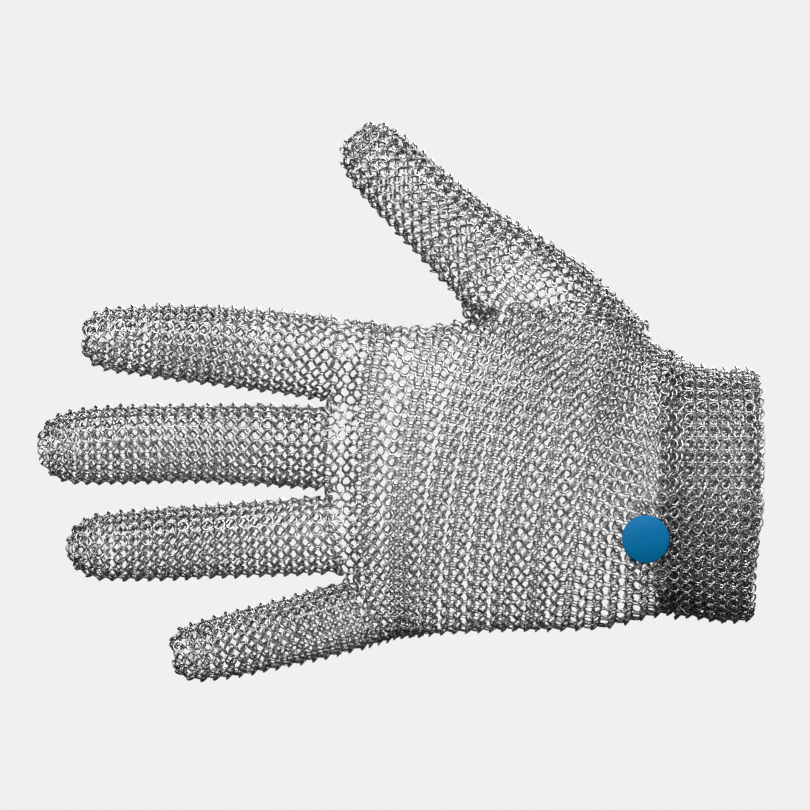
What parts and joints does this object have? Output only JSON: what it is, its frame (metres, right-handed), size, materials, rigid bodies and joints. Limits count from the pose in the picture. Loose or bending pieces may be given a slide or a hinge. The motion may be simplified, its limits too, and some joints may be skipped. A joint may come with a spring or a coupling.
{
  "type": "chainmail glove",
  "caption": "Five-finger ring-mail safety glove in the shape of an open hand, with a doubled mail cuff and a mail strap closed by a round snap.",
  "frame": {"origin": "centre of the open mouth of the cuff, where the wrist comes out", "axes": "+X out of the mouth along the forearm, the fingers point towards -X, +Z is the thumb side, and the face with the snap looks towards -Y"},
  "size_m": [0.2282, 0.0541, 0.1743],
  "materials": {
    "mail": "bright stainless steel ring mail",
    "snap_cap": "satin blue plastic",
    "snap_post": "plain stainless steel"
  },
  "bodies": {
    "root": {"palm_and_back": "mail", "thumb_sleeve": "mail", "index_sleeve": "mail", "middle_sleeve": "mail", "ring_sleeve": "mail", "little_sleeve": "mail", "cuff_band": "mail", "closure_strap": "mail", "snap_cap": "snap_cap", "snap_post": "snap_post"}
  },
  "joints": []
}
